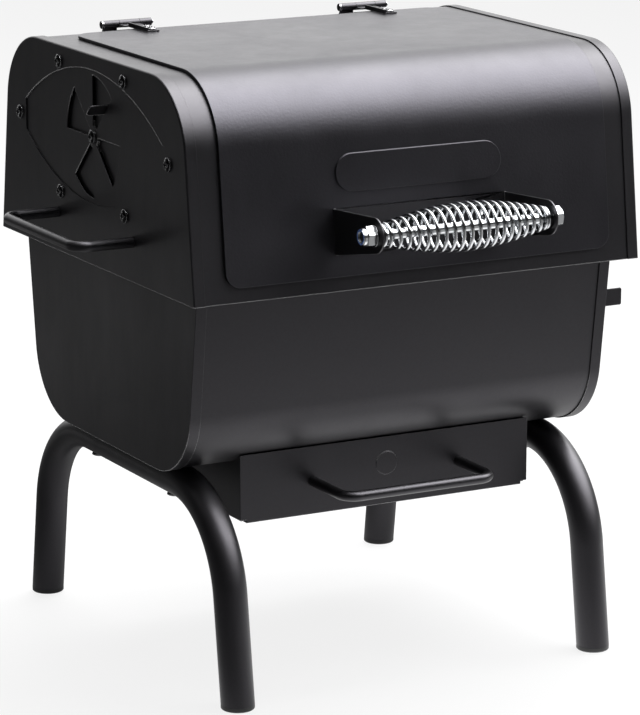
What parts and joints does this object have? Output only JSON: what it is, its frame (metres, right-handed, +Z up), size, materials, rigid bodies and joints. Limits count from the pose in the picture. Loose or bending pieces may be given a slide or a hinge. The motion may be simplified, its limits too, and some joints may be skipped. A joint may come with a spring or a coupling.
{
  "type": "portable charcoal grill",
  "caption": "Portable charcoal grill: trough tub and rounded hood in black sheet steel, top-hinged lid with spring grip, rotary vent, ash drawer and bent-tube legs.",
  "frame": {"origin": "on the ground, at the middle of the whole grill's footprint from left to right and from front to back", "axes": "+X to the right seen from the front, along the hinge line; +Y to the back; +Z up"},
  "size_m": [0.58, 0.5262, 0.5763],
  "materials": {
    "sheet_paint": "satin black powder coat on sheet steel",
    "lid_paint": "fine-textured satin black powder coat",
    "rod_paint": "semi-gloss black paint on rod",
    "leg_paint": "satin black powder coat on tube",
    "bright_steel": "zinc and chrome plated hardware",
    "dark_screw": "black chrome plated screws and pins",
    "bracket_paint": "semi-gloss black powder coat",
    "spring_steel": "bright chrome plated spring wire",
    "foot_plastic": "black moulded foot cap",
    "grate_iron": "seasoned cast iron"
  },
  "bodies": {
    "grill": {"tub_shell": "sheet_paint", "tub_end_left": "sheet_paint", "tub_end_right": "sheet_paint", "hood_shell": "sheet_paint", "hood_end_left": "sheet_paint", "hood_end_right": "sheet_paint", "rim_bolts": "bright_steel", "rim_nuts": "bright_steel", "vent_cover": "sheet_paint", "vent_pivot_screw": "dark_screw", "vent_pivot_nut": "bright_steel", "vent_cover_screws": "dark_screw", "vent_cover_nuts": "bright_steel", "hinge_hood_leaf_left": "sheet_paint", "hinge_hood_leaf_right": "sheet_paint", "hinge_pins": "dark_screw", "hinge_hood_screws": "dark_screw", "side_handle_left": "rod_paint", "side_handle_right": "rod_paint", "side_handle_screws": "bright_steel", "leg_left": "leg_paint", "leg_right": "leg_paint", "leg_caps": "foot_plastic", "leg_bolts": "dark_screw", "leg_nuts": "bright_steel", "drawer_housing": "sheet_paint", "housing_screws": "dark_screw", "cooking_grate_left": "grate_iron", "cooking_grate_right": "grate_iron", "charcoal_grate": "grate_iron", "cooking_ledges": "sheet_paint", "charcoal_ledges": "sheet_paint", "intake_screws": "dark_screw"},
    "lid": {"lid_panel": "lid_paint", "hinge_lid_leaf_left": "sheet_paint", "hinge_lid_leaf_right": "sheet_paint", "hinge_lid_screws": "dark_screw", "handle_bracket": "bracket_paint", "bracket_screws": "bright_steel", "handle_bolt": "bright_steel", "handle_nut": "bright_steel", "handle_washers": "bright_steel"},
    "grip": {"handle_spring": "spring_steel"},
    "damper": {"vent_disc": "sheet_paint"},
    "drawer": {"ash_drawer": "sheet_paint", "drawer_front": "sheet_paint", "drawer_handle": "rod_paint", "drawer_handle_screws": "bright_steel"},
    "shutter": {"intake_shutter": "sheet_paint"}
  },
  "joints": [
    {"name": "lid_hinge", "type": "hinge", "parent": "grill", "child": "lid", "pos_m": [0, 0.1755, 0.5725], "axis": [-1, 0, 0], "range_deg": [0, 100]},
    {"name": "grip_spin", "type": "hinge", "parent": "lid", "child": "grip", "pos_m": [0, -0.24141, 0.43669], "axis": [1, 0, 0], "continuous": true},
    {"name": "vent_turn", "type": "hinge", "parent": "grill", "child": "damper", "pos_m": [-0.225, 0.0365, 0.4925], "axis": [-1, 0, 0], "range_deg": [0, 40]},
    {"name": "drawer_slide", "type": "slide", "parent": "grill", "child": "drawer", "axis": [0, -1, 0], "range_m": [0, 0.24]},
    {"name": "intake_slide", "type": "slide", "parent": "grill", "child": "shutter", "axis": [0, 1, 0], "range_m": [0, 0.03]}
  ]
}
